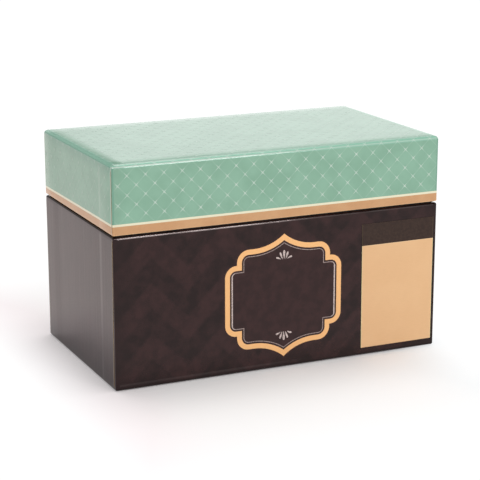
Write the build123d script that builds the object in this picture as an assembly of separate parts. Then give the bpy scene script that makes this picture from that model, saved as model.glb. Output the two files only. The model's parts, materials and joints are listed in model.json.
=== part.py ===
from build123d import *
import math
import os

# Recipe box: a rigid set-up box of greyboard wrapped in printed paper, with a flush lid that
# is hinged along the back by a strip of paper, a neck that keeps the lid in line, and eight
# tabbed dividers on edge inside.
# Millimetres. The origin is the centre of the underside, +Z is up, the length runs along X
# and the front faces -Y.

# The closed box, outside
box_length = 190.5
box_depth = 109.0
box_height = 120.0
lid_height = 36.7
seam_gap = 0.8

# Boards
base_board = 2.0
lid_wall_board = 1.5
lid_top_board = 2.0
neck_board = 1.5

# Papers
wrap_paper = 0.2
lining_paper = 0.2
underside_paper = 0.2
stay_paper = 0.15
label_paper = 0.2
hinge_paper = 0.2

# Edges and folds
edge_radius = 2.0
base_rim_radius = 1.0
lid_rim_radius = 0.6
corner_radius = 0.35
turn_in = 15.0
stay_leg = 12.0
underside_margin = 3.0

# The neck's rise above the base's rim, and its fit in the lid
neck_rise = 8.0
neck_fit = 0.5
neck_edge_radius = 0.5
swing_margin = 0.2

# The hinge strip's reach on each side of the fold, and its distance from the box's ends
hinge_reach = 12.0
hinge_margin = 3.0

# The label on the front, from the right end and from the underside
label_width = 45.4
label_height = 70.4
label_end_margin = 2.0
label_foot = 4.4

# Dividers: cards of 4 in by 6 1/4 in with a tab in one of four places
divider_count = 8
divider_length = 159.0
divider_card_height = 101.6
divider_card = 0.5
divider_lean = 3.0
divider_corner = 4.0
divider_clearance = 0.3
divider_floor_gap = 0.1
tab_height = 10.5
tab_gap = 4.0
tab_places = 4
tab_corner = 2.5
tab_root = 1.5

# Levels, from the underside up
wrap_foot_z = underside_paper
base_core_foot_z = wrap_foot_z + wrap_paper
base_panel_foot_z = base_core_foot_z + base_board
floor_z = base_panel_foot_z + lining_paper
rim_z = box_height - lid_height - seam_gap
base_core_top_z = rim_z - wrap_paper
lid_edge_z = rim_z + seam_gap
lid_core_foot_z = lid_edge_z + wrap_paper
lid_core_top_z = box_height - wrap_paper
lid_panel_top_z = lid_core_top_z - lid_top_board
ceiling_z = lid_panel_top_z - lining_paper
hinge_z = rim_z + seam_gap / 2

# Radii of the boards under the wrap. Both edges of a rim are rounded, so its wall limits them.
core_edge_radius = edge_radius - wrap_paper
base_core_rim = min(base_rim_radius - wrap_paper, 0.45 * base_board)
lid_core_rim = min(lid_rim_radius - wrap_paper, 0.45 * lid_wall_board)

# Plan sizes of the boards, under the wrap
core_length = box_length - 2 * wrap_paper
core_depth = box_depth - 2 * wrap_paper
base_inner_length = core_length - 2 * base_board
base_inner_depth = core_depth - 2 * base_board
lid_inner_length = core_length - 2 * lid_wall_board
lid_inner_depth = core_depth - 2 * lid_wall_board
hinge_y = box_depth / 2 + hinge_paper

# The neck's outer faces: inside the base's turned-in wrap, and clear of the lid's as the lid
# swings up about the hinge
lid_wall = lid_wall_board + 2 * wrap_paper
swing_radius = hinge_y + box_depth / 2 - lid_wall
neck_top_above_hinge = neck_rise - seam_gap / 2
swing_clearance = neck_top_above_hinge ** 2 / (2 * swing_radius) + swing_margin
neck_inset = max(base_board + 2 * wrap_paper, lid_wall + max(neck_fit, swing_clearance))
neck_top_z = rim_z + neck_rise
neck_half_length = box_length / 2 - neck_inset
neck_front_y = neck_inset - box_depth / 2
neck_inner_y = neck_front_y + neck_board
back_wall_y = base_inner_depth / 2 - max(wrap_paper, lining_paper)
lid_back_y = lid_inner_depth / 2 - max(wrap_paper, lining_paper)

# The dividers turn about the rounded foot of each card. The last leans back on the back wall,
# and the spaces in front of it are alike.
divider_axis_z = floor_z + divider_floor_gap + divider_card / 2
divider_height = divider_card_height + tab_height
lean_sine = math.sin(math.radians(divider_lean))
lean_to_rim = (rim_z - divider_axis_z) * lean_sine
lean_to_tab = divider_height * lean_sine
last_divider_y = min(back_wall_y - lean_to_rim, lid_back_y - lean_to_tab)
last_divider_y -= divider_card / 2 + divider_clearance
divider_pitch = (last_divider_y - neck_inner_y) / divider_count


def block(x0, x1, y0, y1, z0, z1):
    """A box between two corners."""
    centre = Pos((x0 + x1) / 2, (y0 + y1) / 2, (z0 + z1) / 2)
    return centre * Box(x1 - x0, y1 - y0, z1 - z0)


def centred(length, depth, z0, z1):
    """A box centred on the Z axis."""
    return block(-length / 2, length / 2, -depth / 2, depth / 2, z0, z1)


def tray(length, depth, height, wall, floor, floor_edge, rim_edge, corner=0.0):
    """An open tray that stands on z = 0, with its foot and its rim rounded."""
    body = centred(length, depth, 0, height)
    body = fillet(body.edges().group_by(Axis.Z)[0], floor_edge)
    body = fillet(body.edges().group_by(Axis.Z)[-1], rim_edge)
    if corner > 0:
        body = fillet(body.edges().filter_by(Axis.Z), corner)
    inner_length = length - 2 * wall
    inner_depth = depth - 2 * wall
    body -= centred(inner_length, inner_depth, floor, height)
    rim = body.edges().filter_by_position(Axis.Z, height, height)
    mouth = rim.filter_by(
        lambda e: abs(e.center().X) < inner_length / 2 + wall / 4
        and abs(e.center().Y) < inner_depth / 2 + wall / 4
    )
    return fillet(mouth, rim_edge)


def stand(shape, foot_z):
    """Put a tray upright with its foot at a level."""
    return Pos(0, 0, foot_z) * shape


def turn_over(shape, top_z):
    """Put a tray upside down with its closed side at a level."""
    return Pos(0, 0, top_z) * Rot(180, 0, 0) * shape


def corner_stays(side, z0, z1):
    """The paper tape over each vertical corner, pressed flush into the boards."""
    stays = {}
    half_length = core_length / 2
    half_depth = core_depth / 2
    for y_name, sy in (("front", -1), ("back", 1)):
        for x_name, sx in (("left", -1), ("right", 1)):
            xs = sorted((sx * half_length, sx * (half_length - stay_leg)))
            ys = sorted((sy * half_depth, sy * (half_depth - stay_leg)))
            x_face = sorted((sx * half_length, sx * (half_length - stay_paper)))
            y_face = sorted((sy * half_depth, sy * (half_depth - stay_paper)))
            leg_on_length = block(*xs, *y_face, z0, z1)
            leg_on_end = block(*x_face, *ys, z0, z1)
            stays[f"{side}_stay_{y_name}_{x_name}"] = leg_on_length + leg_on_end
    return stays


def wall_panels(side, core, inner_length, inner_depth, z0, z1, stays):
    """The four wall boards: front and back run full length, the ends fit between them."""
    far_x = box_length
    far_y = box_depth
    zones = {
        "front": block(-far_x, far_x, -far_y, -inner_depth / 2, z0, z1),
        "back": block(-far_x, far_x, inner_depth / 2, far_y, z0, z1),
        "left": block(-far_x, -inner_length / 2, -inner_depth / 2, inner_depth / 2, z0, z1),
        "right": block(inner_length / 2, far_x, -inner_depth / 2, inner_depth / 2, z0, z1),
    }
    panels = {}
    for name, zone in zones.items():
        panel = core & zone
        for stay in stays.values():
            panel -= stay
        panels[f"{side}_{name}_board"] = panel
    return panels


def make_base():
    """Boards, stays, wrap and papers of the base."""
    core = tray(
        core_length,
        core_depth,
        base_core_top_z - base_core_foot_z,
        base_board,
        base_board,
        core_edge_radius,
        base_core_rim,
    )
    core = stand(core, base_core_foot_z)
    stays = corner_stays("base", base_panel_foot_z, base_core_top_z - base_core_rim)
    base = wall_panels(
        "base", core, base_inner_length, base_inner_depth, base_panel_foot_z, rim_z, stays
    )
    base["base_bottom_board"] = core & centred(box_length, box_depth, 0, base_panel_foot_z)
    base.update(stays)

    skin = tray(
        box_length,
        box_depth,
        rim_z - wrap_foot_z,
        base_board + 2 * wrap_paper,
        base_board + wrap_paper,
        edge_radius,
        base_core_rim + wrap_paper,
        corner_radius,
    )
    skin = stand(skin, wrap_foot_z) - core
    skin -= centred(base_inner_length, base_inner_depth, base_panel_foot_z, rim_z - turn_in)
    window_length = box_length - 2 * turn_in
    window_depth = box_depth - 2 * turn_in
    skin -= centred(window_length, window_depth, 0, base_core_foot_z)
    base["base_wrap"] = skin

    paper_length = box_length - 2 * underside_margin
    paper_depth = box_depth - 2 * underside_margin
    base["underside_paper"] = centred(paper_length, paper_depth, 0, underside_paper)
    base["floor_lining"] = centred(
        base_inner_length, base_inner_depth, base_panel_foot_z, floor_z
    )
    base["back_lining"] = block(
        -base_inner_length / 2,
        base_inner_length / 2,
        base_inner_depth / 2 - lining_paper,
        base_inner_depth / 2,
        floor_z,
        rim_z - turn_in,
    )
    return base


def make_neck():
    """Three boards glued inside the base, standing above its rim."""
    edge = min(neck_edge_radius, neck_board / 3)
    half = neck_half_length
    front = block(-half, half, neck_front_y, neck_inner_y, floor_z, neck_top_z)
    left = block(-half, neck_board - half, neck_inner_y, back_wall_y, floor_z, neck_top_z)
    right = block(half - neck_board, half, neck_inner_y, back_wall_y, floor_z, neck_top_z)

    def soften(panel, run):
        """Round the two long top edges."""
        top = panel.edges().group_by(Axis.Z)[-1].filter_by(run)
        return fillet(top, edge)

    return {
        "neck_front": soften(front, Axis.X),
        "neck_left": soften(left, Axis.Y),
        "neck_right": soften(right, Axis.Y),
    }


def make_lid():
    """Boards, stays, wrap and lining of the lid."""
    core = tray(
        core_length,
        core_depth,
        lid_core_top_z - lid_core_foot_z,
        lid_wall_board,
        lid_top_board,
        core_edge_radius,
        lid_core_rim,
    )
    core = turn_over(core, lid_core_top_z)
    stays = corner_stays("lid", lid_core_foot_z + lid_core_rim, lid_panel_top_z)
    lid = wall_panels(
        "lid", core, lid_inner_length, lid_inner_depth, lid_edge_z, lid_panel_top_z, stays
    )
    lid["lid_top_board"] = core & centred(box_length, box_depth, lid_panel_top_z, box_height)
    lid.update(stays)

    skin = tray(
        box_length,
        box_depth,
        lid_height,
        lid_wall,
        lid_top_board + wrap_paper,
        edge_radius,
        lid_core_rim + wrap_paper,
        corner_radius,
    )
    skin = turn_over(skin, box_height) - core
    lining_foot_z = lid_edge_z + turn_in
    skin -= centred(lid_inner_length, lid_inner_depth, lining_foot_z, lid_panel_top_z)
    lid["lid_wrap"] = skin

    lining = centred(lid_inner_length, lid_inner_depth, lining_foot_z, lid_panel_top_z)
    lining -= centred(
        lid_inner_length - 2 * lining_paper,
        lid_inner_depth - 2 * lining_paper,
        lining_foot_z,
        ceiling_z,
    )
    lid["lid_lining"] = lining
    return lid


def make_hinge():
    """The two leaves of the paper strip that carries the lid."""
    half = box_length / 2 - hinge_margin
    back = box_depth / 2
    return {
        "hinge_leaf_base": block(-half, half, back, hinge_y, hinge_z - hinge_reach, hinge_z),
        "hinge_leaf_lid": block(-half, half, back, hinge_y, hinge_z, hinge_z + hinge_reach),
    }


def make_label():
    """The paper label on the front, near the right end."""
    right = box_length / 2 - label_end_margin
    front = -box_depth / 2
    return block(
        right - label_width,
        right,
        front - label_paper,
        front,
        label_foot,
        label_foot + label_height,
    )


def divider_outline(place):
    """Card and tab, drawn with the card's foot on the X axis."""
    tab_pitch = (divider_length - 2 * divider_corner) / tab_places
    tab_x = (place - (tab_places - 1) / 2) * tab_pitch
    half_tab = (tab_pitch - tab_gap) / 2
    half = divider_length / 2
    card_top = divider_card_height
    tab_top = card_top + tab_height
    root = min(tab_root, 0.45 * tab_gap)
    tip = min(tab_corner, 0.9 * (tab_height - root))
    corners = [
        (-half, 0),
        (-half, card_top),
        (tab_x - half_tab, card_top),
        (tab_x - half_tab, tab_top),
        (tab_x + half_tab, tab_top),
        (tab_x + half_tab, card_top),
        (half, card_top),
        (half, 0),
    ]
    radii = [divider_corner, root, tip, tip, root, divider_corner]
    rim = FilletPolyline(*corners, radius=radii)
    return make_face(rim + Line((half, 0), (-half, 0)))


def make_divider(number):
    """One tabbed card. Number 1 is at the front, and all lean back alike."""
    place = (number - 1) % tab_places
    y = last_divider_y - (divider_count - number) * divider_pitch
    card = extrude(Plane.XZ * divider_outline(place), divider_card / 2, both=True)
    foot = Rot(0, 90, 0) * Cylinder(divider_card / 2, divider_length)
    return Pos(0, y, divider_axis_z) * Rot(-divider_lean, 0, 0) * (card + foot)


parts = {}
parts.update(make_base())
parts.update(make_neck())
parts.update(make_lid())
parts.update(make_hinge())
parts["front_label"] = make_label()
for number in range(1, divider_count + 1):
    parts[f"divider_{number}"] = make_divider(number)

os.makedirs("parts", exist_ok=True)
for name, shape in parts.items():
    export_step(shape, f"parts/{name}.step")

print(f"{len(parts)} nodes, rim at {rim_z:.2f}, neck to {neck_top_z:.2f}")
print(f"neck {neck_inset - lid_wall:.3f} clear of the lid, {swing_clearance:.3f} needed")
print(f"hinge at y {hinge_y:.2f}, z {hinge_z:.2f}")
print(f"ceiling {ceiling_z:.2f}, divider height {divider_height:.2f}, axis {divider_axis_z:.2f}")
print(f"divider pitch {divider_pitch:.3f}, last at y {last_divider_y:.3f}")
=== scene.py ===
# %% [markdown]
# A recipe box is a rigid card box: greyboard walls, printed paper wrapped round them, and a lid
# hinged along the back. The boards, the neck and the dividers come in as a fixed model, in their
# true places. This lesson gives them their papers, inks and light. It starts by loading that
# model, and every later cell takes its sizes from it.

# %% Load the model
import json
import math

import bmesh
import bpy
from mathutils import Matrix, Vector


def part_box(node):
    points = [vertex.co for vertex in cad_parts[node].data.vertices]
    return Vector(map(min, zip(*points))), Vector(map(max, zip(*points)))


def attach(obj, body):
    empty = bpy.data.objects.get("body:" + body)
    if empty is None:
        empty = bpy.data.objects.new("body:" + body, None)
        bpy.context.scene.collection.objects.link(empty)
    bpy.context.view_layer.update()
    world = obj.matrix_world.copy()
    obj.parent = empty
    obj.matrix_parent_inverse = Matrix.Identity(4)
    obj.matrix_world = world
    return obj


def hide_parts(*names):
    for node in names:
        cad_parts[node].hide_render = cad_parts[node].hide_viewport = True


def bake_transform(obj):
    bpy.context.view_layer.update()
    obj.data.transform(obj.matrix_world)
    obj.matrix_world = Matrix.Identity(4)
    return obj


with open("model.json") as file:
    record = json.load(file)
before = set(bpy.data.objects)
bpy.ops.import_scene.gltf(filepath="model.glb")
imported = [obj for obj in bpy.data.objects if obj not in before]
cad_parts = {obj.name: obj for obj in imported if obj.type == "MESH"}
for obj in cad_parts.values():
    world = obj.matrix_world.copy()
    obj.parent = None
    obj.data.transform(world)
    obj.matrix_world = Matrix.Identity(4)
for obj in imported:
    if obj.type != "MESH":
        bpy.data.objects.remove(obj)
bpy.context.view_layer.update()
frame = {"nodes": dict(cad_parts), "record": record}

MM = 0.001
nodes = frame["nodes"]

# %% [markdown]
# Sizes. Anything that has to meet a board is read from that board's box, so that the papers
# still fit if the boards change. Only what is printed or folded has sizes of its own. All of
# them are in millimetres, because paper is cut and printed in millimetres.

# %% Read the places
def corners_of(node):
    """The lowest and highest corners of a node, in millimetres."""
    low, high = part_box(node)
    return low / MM, high / MM


base_low, base_high = corners_of("base_wrap")
lid_low, lid_high = corners_of("lid_wrap")
label_low, label_high = corners_of("front_label")
leaf_low, leaf_high = corners_of("hinge_leaf_base")
upper_leaf_low, upper_leaf_high = corners_of("hinge_leaf_lid")
box_length = lid_high.x - lid_low.x
box_depth = lid_high.y - lid_low.y
front_y = base_low.y
print(f"box {box_length:.1f} x {box_depth:.1f}, lid from {lid_low.z:.1f} to {lid_high.z:.1f}")

# %% [markdown]
# The camera stands where the photographer stood: to the left of the front and a little above
# the lid, far away with a long lens, so that the box's edges nearly stay parallel.

# %% Stand the camera
camera_azimuth = math.radians(-24.534)
camera_elevation = math.radians(14.446)
camera_roll = math.radians(-0.056)
camera_distance = 857.06
camera_aim = Vector((-24.429, front_y, 73.946))
sensor_width = 36.0
lens_length = 122.4


def direction(azimuth, elevation):
    """The unit vector towards an azimuth and elevation. Azimuth 0 is straight in front."""
    flat = math.cos(elevation)
    return Vector((math.sin(azimuth) * flat, -math.cos(azimuth) * flat, math.sin(elevation)))


def aimed(place, back, roll=0.0):
    """A matrix that looks along -back from a place in millimetres, with its top up."""
    level = Vector((0, 0, 1)).cross(back).normalized()
    right = Matrix.Rotation(roll, 3, back) @ level
    up = back.cross(right)
    matrix = Matrix((right, up, back)).transposed().to_4x4()
    matrix.translation = place * MM
    return matrix


camera_data = bpy.data.cameras.new("camera")
camera_data.sensor_width = sensor_width
camera_data.lens = lens_length
camera_data.clip_end = 20
camera = bpy.data.objects.new("camera", camera_data)
camera_back = direction(camera_azimuth, camera_elevation)
camera_place = camera_aim + camera_back * camera_distance
camera.matrix_world = aimed(camera_place, camera_back, camera_roll)
bpy.context.scene.collection.objects.link(camera)
bpy.context.scene.camera = camera
print("camera at", [round(v) for v in camera_place])

# %% [markdown]
# Node maths reads badly as boxes and wires, so one class wraps a socket. Arithmetic on it adds
# Math nodes, and node() adds any other node: its settings first, then the values or links of
# its sockets. Geometry Nodes use the same maths, so the class serves both kinds of tree.

# %% The pen that writes node trees
class Pen:
    """A value in a node tree. Without a socket it only adds nodes."""

    def __init__(self, tree, socket=None):
        self.tree = tree
        self.socket = socket

    def node(self, kind, settings=None, inputs=None, output=0):
        made = self.tree.nodes.new(kind)
        for name, value in (settings or {}).items():
            setattr(made, name, value)
        for name, value in (inputs or {}).items():
            if isinstance(value, Pen):
                self.tree.links.new(value.socket, made.inputs[name])
            else:
                made.inputs[name].default_value = value
        return Pen(self.tree, made.outputs[output] if made.outputs else None)

    def also(self, output):
        """Another output of the node that made this value."""
        return Pen(self.tree, self.socket.node.outputs[output])

    def maths(self, operation, *values):
        return self.node("ShaderNodeMath", {"operation": operation}, dict(enumerate(values)))

    def __add__(self, other):
        return self.maths("ADD", self, other)

    def __sub__(self, other):
        return self.maths("SUBTRACT", self, other)

    def __rsub__(self, other):
        return self.maths("SUBTRACT", other, self)

    def __mul__(self, other):
        return self.maths("MULTIPLY", self, other)

    def __truediv__(self, other):
        return self.maths("DIVIDE", self, other)

    def __gt__(self, other):
        return self.maths("GREATER_THAN", self, other)

    def __lt__(self, other):
        return self.maths("LESS_THAN", self, other)

    __radd__ = __add__
    __rmul__ = __mul__

    def size(self):
        """The value without its sign."""
        return self.maths("ABSOLUTE", self)

    def at_least(self, other):
        return self.maths("MAXIMUM", self, other)

    def at_most(self, other):
        return self.maths("MINIMUM", self, other)

    def fold(self, length):
        """Goes up to a length and back down, over and over."""
        return self.maths("PINGPONG", self, length)

    def ramp(self, low, high, start=0.0, end=1.0):
        """Changes smoothly from start to end as the value goes from low to high."""
        return self.node(
            "ShaderNodeMapRange",
            {"interpolation_type": "SMOOTHSTEP"},
            {"Value": self, "From Min": low, "From Max": high, "To Min": start, "To Max": end},
        )

    def fade(self, low, high, start=1.0):
        """Falls from start to nothing as the value goes from low to high."""
        return self.ramp(low, high, start, 0.0)

    def near(self, middle, inner, outer, strength=1.0):
        """Full strength within inner of a middle value, and nothing beyond outer."""
        return (self - middle).size().fade(inner, outer, strength)

    def between(self, low, full, still, high):
        """Rises from low to full, and falls again from still to high."""
        return self.ramp(low, full) * self.fade(still, high)

    def mix(self, first, second, share=None):
        """Mixes two colours by this value, or by a share given as a number."""
        share = self if share is None else share
        return self.node(
            "ShaderNodeMix", {"data_type": "RGBA"}, {0: share, 6: first, 7: second}, output=2
        )

    def parts(self):
        """The X, Y and Z of a vector."""
        x = self.node("ShaderNodeSeparateXYZ", None, {0: self})
        return x, x.also("Y"), x.also("Z")


print("pen ready")

# %% [markdown]
# Every finish reads its place on the box in millimetres. Boards and cards read Object
# coordinates. The two printed papers read a map called sheet instead, which says where each
# point lies on the flat sheet before it is folded, so that the print runs on over each edge.
# A noise is stretched along the fibres of a paper by giving it a length for each direction.

# %% Helpers for finishes
def ink(red, green, blue):
    """A colour written as 0 to 255 on a screen, as the linear colour that a shader takes."""
    levels = [value / 255 for value in (red, green, blue)]
    linear = [v / 12.92 if v <= 0.04045 else ((v + 0.055) / 1.055) ** 2.4 for v in levels]
    return (*linear, 1.0)


def start_material(name):
    """A material with one Principled shader, its pen, and that shader."""
    material = bpy.data.materials.new(name)
    material.use_nodes = True
    tree = material.node_tree
    return material, Pen(tree), tree.nodes["Principled BSDF"]


def place_of(pen):
    """Object coordinates in millimetres."""
    place = pen.node("ShaderNodeTexCoord", output="Object")
    return pen.node("ShaderNodeVectorMath", {"operation": "SCALE"}, {0: place, "Scale": 1 / MM})


def sheet_of(pen):
    """The place on the flat sheet, in millimetres."""
    return pen.node("ShaderNodeUVMap", {"uv_map": "sheet"})


def noise(pen, place, *lengths, detail=2.0, turn=(0.0, 0.0, 0.0)):
    """Noise whose grain has one length, or one along each axis, in millimetres, after a turn."""
    grain = pen.node(
        "ShaderNodeMapping",
        {"vector_type": "TEXTURE"},
        {"Vector": place, "Rotation": turn, "Scale": lengths if len(lengths) == 3 else lengths * 3},
    )
    return pen.node("ShaderNodeTexNoise", None, {"Vector": grain, "Scale": 1.0, "Detail": detail})


def wire(pen, shader, name, value):
    """A link or a number into one of the shader's sockets."""
    if isinstance(value, Pen):
        pen.tree.links.new(value.socket, shader.inputs[name])
    else:
        shader.inputs[name].default_value = value


def finish_shader(pen, shader, colour, roughness, height):
    """Colour, roughness and a height in micrometres into a shader."""
    wire(pen, shader, "Base Color", colour)
    wire(pen, shader, "Roughness", roughness)
    bump = pen.node("ShaderNodeBump", None, {"Height": height, "Distance": MM * MM})
    wire(pen, shader, "Normal", bump)


print("mint", [round(v, 3) for v in ink(147, 188, 167)])

# %% [markdown]
# Both wraps carry a clear gloss film, and what it mirrors shows how flat it lies: a fine tooth
# from the paper, upright streaks from the board, and long waves from the paste. The film could
# be a coat over a rough paper, but one smooth surface with these three heights mirrors the same
# and renders faster. Where an end flap was cut, a thin edge of the film has turned white.

# %% The gloss film
film_roughness = 0.11
cut_back = 0.9
cut_taper = 1.3
cut_width = 0.3
flap_stands_out = 0.03


def film_height(pen, place):
    """The film's height in micrometres: fine tooth, upright streaks, long waves."""
    tooth = noise(pen, place, 0.6) * 0.4
    streaks = noise(pen, place, 2.4, 2.4, 60.0) * 38
    waves = noise(pen, place, 30.0, 30.0, 45.0, detail=1.0) * 60
    return tooth + streaks + waves


def cut_edge(place):
    """Picks the last hair's breadth of an end flap. The flap is cut back further at its foot."""
    x, y, z = place.parts()
    on_flap = x.size() > box_length / 2 + flap_stands_out
    taper = (1 - z / base_high.z).at_least(0) * cut_taper
    return on_flap * (y.size() + taper > box_depth / 2 - cut_back - cut_width)


print("film roughness", film_roughness)

# %% [markdown]
# Much on the box is kraft or is printed like it: the lid's lower band, the stuck-on label, the
# ornament's border and the dividers. Kraft is brown because its fibres are unbleached, and they
# show. One brown would look like plastic, so the colour comes from fibres at a slant, flecks
# that cross them, and soft clouds.

# %% Kraft
KRAFT = ink(205, 154, 107)
KRAFT_DARK = ink(186, 134, 90)
KRAFT_PALE = ink(226, 186, 140)


def kraft_colour(pen, place, slant, standing=False):
    """Kraft paper with its fibres at a slant, on a sheet that lies flat or stands upright."""
    if standing:
        upright = (math.pi / 2, 0, 0)
        place = pen.node("ShaderNodeMapping", None, {"Vector": place, "Rotation": upright})
    slant = math.radians(slant)
    fibres = noise(pen, place, 3.0, 0.25, 3.0, detail=3.0, turn=(0, 0, slant))
    flecks = noise(pen, place, 0.9, 0.22, 0.9, detail=1.0, turn=(0, 0, -slant)).ramp(0.62, 0.74)
    clouds = noise(pen, place, 16.0).ramp(0.4, 0.7)
    base = fibres.ramp(0.3, 0.6, 0.6, 1.0).mix(KRAFT_DARK, KRAFT)
    base = (clouds * 0.2).mix(base, KRAFT_PALE)
    return (flecks * 0.25).mix(base, KRAFT_DARK)


print("kraft", [round(v, 3) for v in KRAFT])

# %% [markdown]
# The lid's paper is printed in three bands: mint with a fine lattice of diagonal lines, a thin
# cream line, and plain kraft down to the edge. The lattice could be a picture, but two families
# of lines need only one sum each. Along a diagonal the sheet's two coordinates add up to the
# same number, and folding that number over half a pitch gives the distance to the nearest line.
# A star stands at each crossing. Those on the flats are printed later, as films of their own. A
# star that lies across a fold is drawn here, because a film of a few faces can't bend.

# %% The lattice's sums
lattice_pitch = 10.1
lattice_row = 5.95
lattice_u = 3.8
line_core = 0.06
line_edge = 0.26
star_ray = 2.3
star_reach = star_ray / math.sqrt(2)
star_taper = 0.16
edge_radius = 2.0
edge_arc = edge_radius * math.pi / 2
fold_x = box_length / 2 - edge_radius
fold_y = box_depth / 2 - edge_radius
lattice_v = -(fold_y + edge_arc + lattice_row - edge_radius)


def lattice(u, v):
    """The lines, and the stars at their crossings, at a place on the flat sheet."""
    half_pitch = lattice_pitch / 2
    rising = (u + v - (lattice_u + lattice_v)).fold(half_pitch)
    falling = (u - v - (lattice_u - lattice_v)).fold(half_pitch)
    gap = rising.at_most(falling) / math.sqrt(2)
    from_crossing = rising.at_least(falling) / math.sqrt(2)
    stars = (gap + from_crossing * star_taper).fade(0.22, 0.42, 0.65)
    return gap.fade(line_core, line_edge), stars


print("lattice row on the sheet at", round(lattice_v, 2))

# %% [markdown]
# Light and shade are painted where the paper turns. Over the rounded edge the mint is painted paler,
# and two pale lines along the front fold are painted highlights, stronger to the left. Painted shade
# darkens the colour beside each upright corner and in a band under the fold on each end, and a paler
# line along the lower edge is a painted highlight. On the ends the bands were folded a little askew,
# so that they rise by a millimetre from front to back. And the top is not quite flat: its paper
# rolls off before the edge, most at the left end. That roll is too shallow to be seen as a shape,
# but it decides what the gloss mirrors, so it is a height.

# %% The lid's print
MINT = ink(139, 181, 157)
MINT_DEEP = ink(131, 173, 149)
# The next two colours are painted shade and the painted light over the fold.
MINT_SHADE = ink(96, 148, 128)
MINT_LIT_FOLD = ink(148, 197, 175)
LATTICE = ink(166, 197, 178)
STAR = ink(186, 208, 194)
# The colour of the painted highlights.
FOLD_HIGHLIGHT = ink(232, 236, 228)
CREAM = ink(236, 230, 200)
mint_depth = 30.8
cream_depth = 32.0
askew = 1.1
on_wall = 0.15
# Where the two painted highlights lie below the front fold.
highlight_places = (0.5, 2.35)
end_roll, end_roll_start, end_roll_stop = 25.0, 6.0, 1.0
long_roll, long_roll_start = 4.5, 9.0


def lid_print():
    """Mint lattice, cream line and kraft band under a gloss film."""
    material, pen, shader = start_material("lid_paper")
    sheet = sheet_of(pen)
    u, v, _ = sheet.parts()
    place = place_of(pen)
    x, y, z = place.parts()
    from_corner = box_length / 2 - x.size()
    on_long = y.size() > box_depth / 2 - on_wall
    on_end = x.size() > box_length / 2 - on_wall
    past_end = u.size() - fold_x
    past_long = v.size() - fold_y
    past = past_end.at_least(past_long)

    lines, stars = lattice(u, v)
    clouds = noise(pen, place, 14.0).ramp(0.35, 0.65)
    mint = (lines * 0.35).mix(clouds.mix(MINT_DEEP, MINT), LATTICE)
    # Painted light: the mint is painted paler over the rounded fold.
    lit_fold = past.between(-1.5, 0.0, edge_arc - 0.3, edge_arc + 0.2)
    mint = (lit_fold * 0.8).mix(mint, MINT_LIT_FOLD)
    across_fold = (past > -star_reach) * (past < edge_arc + star_reach)
    mint = (stars * across_fold).mix(mint, STAR)
    # Painted shade: darker beside each upright corner and in a band under the fold on each end.
    corner_shade = from_corner.between(0.2, 0.45, 0.7, 1.1) * on_long * 0.8
    shade_under_fold = (past_end - edge_arc).fade(1.0, 6.0, 0.4) * on_end
    mint = (corner_shade + shade_under_fold).mix(mint, MINT_SHADE)
    # Painted highlights: two pale lines along the front fold, stronger to the left.
    from_front_fold = -1 * v - fold_y
    upper, lower = highlight_places
    fold_highlights = from_front_fold.near(upper, 0.15, 0.5, 0.5)
    fold_highlights = fold_highlights + from_front_fold.near(lower, 0.15, 0.45, 0.6)
    mint = (fold_highlights * x.ramp(-60, 60, 1.0, 0.45)).mix(mint, FOLD_HIGHLIGHT)

    below = lid_high.z - z - on_end * (y - front_y) * (askew / box_depth)
    # Painted highlight: a paler line along the lid's lower edge.
    lower_edge_highlight = (z - lid_low.z).fade(0.25, 0.65, 0.7)
    band = lower_edge_highlight.mix(kraft_colour(pen, sheet, 28), KRAFT_PALE)
    colour = (below > cream_depth).mix((below > mint_depth).mix(mint, CREAM), band)
    colour = (cut_edge(place) * 0.5).mix(colour, CREAM)

    height = film_height(pen, place)
    rolled = (past_end + end_roll_start).at_least(0).at_most(end_roll_start + end_roll_stop)
    height = height - rolled * rolled * x.ramp(-20, 20, end_roll, 0.0)
    rolled = (past_long + long_roll_start).at_least(0).at_most(long_roll_start)
    height = height - rolled * rolled * long_roll
    finish_shader(pen, shader, colour, film_roughness, height)
    return material


lid_paper = lid_print()
print("bands end", mint_depth, "and", cream_depth, "below the top")

# %% [markdown]
# The base's paper is dark brown, nearly black, with broad zigzags only a shade lighter. A zigzag
# is a straight stripe whose height goes up and down with the width, so the height of a point
# plus its folded width picks the stripe. Faint clouds keep the dark from looking like paint.
# Three marks are painted light and shade: a pale painted highlight just under the rim, a faint
# painted highlight above the foot, and painted shade where the paper turns under. The two highlights
# are on the front and strongest on the left, and the print is painted darker towards both ends, as
# shade.

# %% The base's print
zigzag_width = 40.6
zigzag_rise = 27.2
zigzag_peak_x = 20.6 - box_length / 2
zigzag_peak_z = 69.9
zigzag_softness = 1.6
zigzag_share = 0.45
# Where the painted highlights lie, and how far from the corners they stop.
rim_highlight_depth = 0.95
foot_highlight_z = 2.9
highlight_margin = 2.2
front_skin = 0.9
BROWN = ink(12, 3, 3)
BROWN_LIGHT = ink(47, 26, 26)
# The colour of the painted highlights.
EDGE_HIGHLIGHT = ink(176, 164, 162)


def zigzag_stripes(pen):
    """One on a light stripe and nought between stripes."""
    along, up, _ = sheet_of(pen).parts()
    swing = (along - zigzag_peak_x).fold(zigzag_width / 2)
    quarter_rise = zigzag_rise / 4
    stripe = (up + swing - (zigzag_peak_z - quarter_rise)).fold(zigzag_rise / 2)
    return stripe.ramp(quarter_rise - zigzag_softness, quarter_rise + zigzag_softness)


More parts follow.
